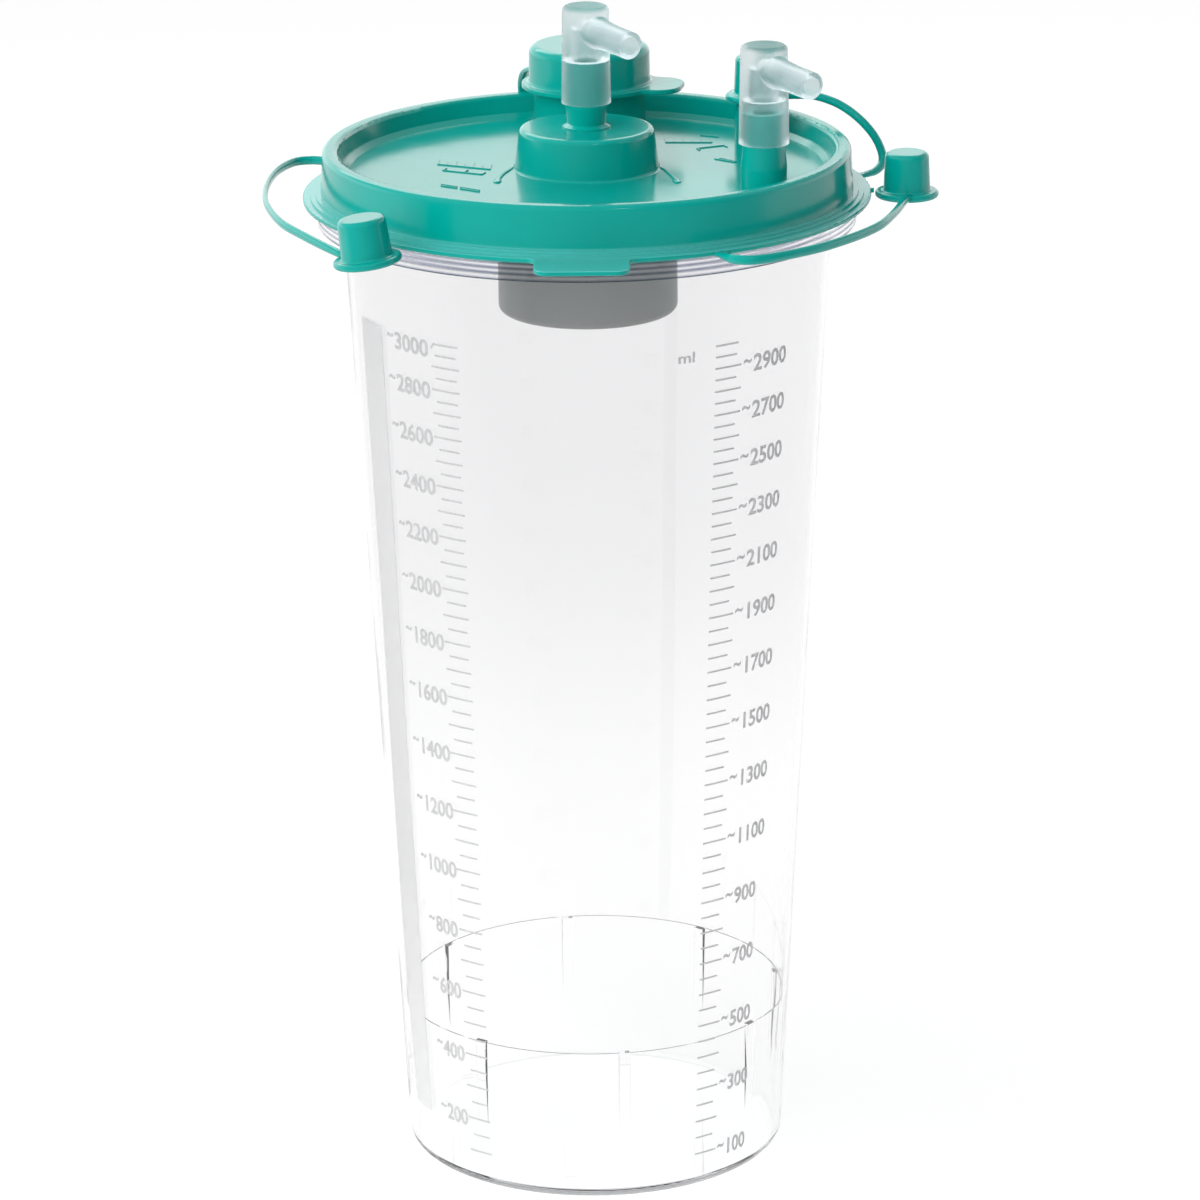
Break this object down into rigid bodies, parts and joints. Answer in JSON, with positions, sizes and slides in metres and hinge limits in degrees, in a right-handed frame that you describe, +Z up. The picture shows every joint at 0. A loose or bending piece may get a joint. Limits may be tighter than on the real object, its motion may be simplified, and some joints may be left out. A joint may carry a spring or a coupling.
{
  "type": "suction canister",
  "caption": "Clear tapered collection jar with a push-on lid, swivelling hose elbows, a capped pour spout, tethered port caps and a float shut-off valve inside.",
  "frame": {"origin": "centre of the flat underside of the jar", "axes": "+Z up along the jar's axis, the pull tab of the lid at -Y and the patient port at +X, as the picture shows the canister from the front"},
  "size_m": [0.1938, 0.1755, 0.3415],
  "materials": {
    "clear_plastic": "clear, polished",
    "lid_plastic": "green, satin gloss",
    "elbow_plastic": "milky, translucent",
    "housing_plastic": "grey, matt",
    "seat_plastic": "white, matt",
    "filter_medium": "white, porous",
    "float_plastic": "white, matt",
    "seal_rubber": "soft, matt"
  },
  "bodies": {
    "canister": {"canister_body": "clear_plastic"},
    "lid": {"lid": "lid_plastic", "filter_housing": "housing_plastic", "valve_seat": "seat_plastic", "aerosol_filter": "filter_medium", "spout_cap_tether": "lid_plastic", "tandem_cap_tether": "lid_plastic"},
    "vacuum_elbow": {"vacuum_elbow": "elbow_plastic"},
    "patient_elbow": {"patient_elbow": "elbow_plastic"},
    "spout_cap": {"spout_cap": "lid_plastic"},
    "tandem_cap": {"tandem_cap": "lid_plastic"},
    "vacuum_port_cap": {"vacuum_port_cap": "lid_plastic", "vacuum_cap_tether": "lid_plastic"},
    "patient_port_cap": {"patient_port_cap": "lid_plastic", "patient_cap_tether": "lid_plastic"},
    "float": {"shutoff_float": "float_plastic", "float_seal": "seal_rubber"}
  },
  "joints": [
    {"name": "lid_lift", "type": "slide", "parent": "canister", "child": "lid", "axis": [0, 0, 1], "range_m": [0, 0.06]},
    {"name": "vacuum_elbow_turn", "type": "hinge", "parent": "lid", "child": "vacuum_elbow", "pos_m": [0, 0, 0.3136], "axis": [0, 0, 1], "continuous": true},
    {"name": "patient_elbow_turn", "type": "hinge", "parent": "lid", "child": "patient_elbow", "pos_m": [0.0494, -0.031, 0.30835], "axis": [0, 0, 1], "continuous": true},
    {"name": "spout_cap_lift", "type": "slide", "parent": "lid", "child": "spout_cap", "axis": [0, 0, 1], "range_m": [0, 0.015], "deforming": ["spout_cap_tether"]},
    {"name": "tandem_cap_lift", "type": "slide", "parent": "lid", "child": "tandem_cap", "axis": [0, 0, 1], "range_m": [0, 0.014], "deforming": ["tandem_cap_tether"]},
    {"name": "vacuum_port_cap_swing", "type": "hinge", "parent": "lid", "child": "vacuum_port_cap", "pos_m": [-0.07127, 0.04115, 0.2872], "axis": [-0.995, -0.0995, 0], "range_deg": [-25, 70], "stiffness_Nm_per_rad": 0.05, "springref_deg": 1.15},
    {"name": "patient_port_cap_swing", "type": "hinge", "parent": "lid", "child": "patient_port_cap", "pos_m": [0.03347, -0.07519, 0.2872], "axis": [0.795, -0.6066, 0], "range_deg": [-25, 70], "stiffness_Nm_per_rad": 0.05, "springref_deg": 0.92},
    {"name": "float_rise", "type": "slide", "parent": "lid", "child": "float", "axis": [0, 0, 1], "range_m": [0, 0.006]}
  ]
}
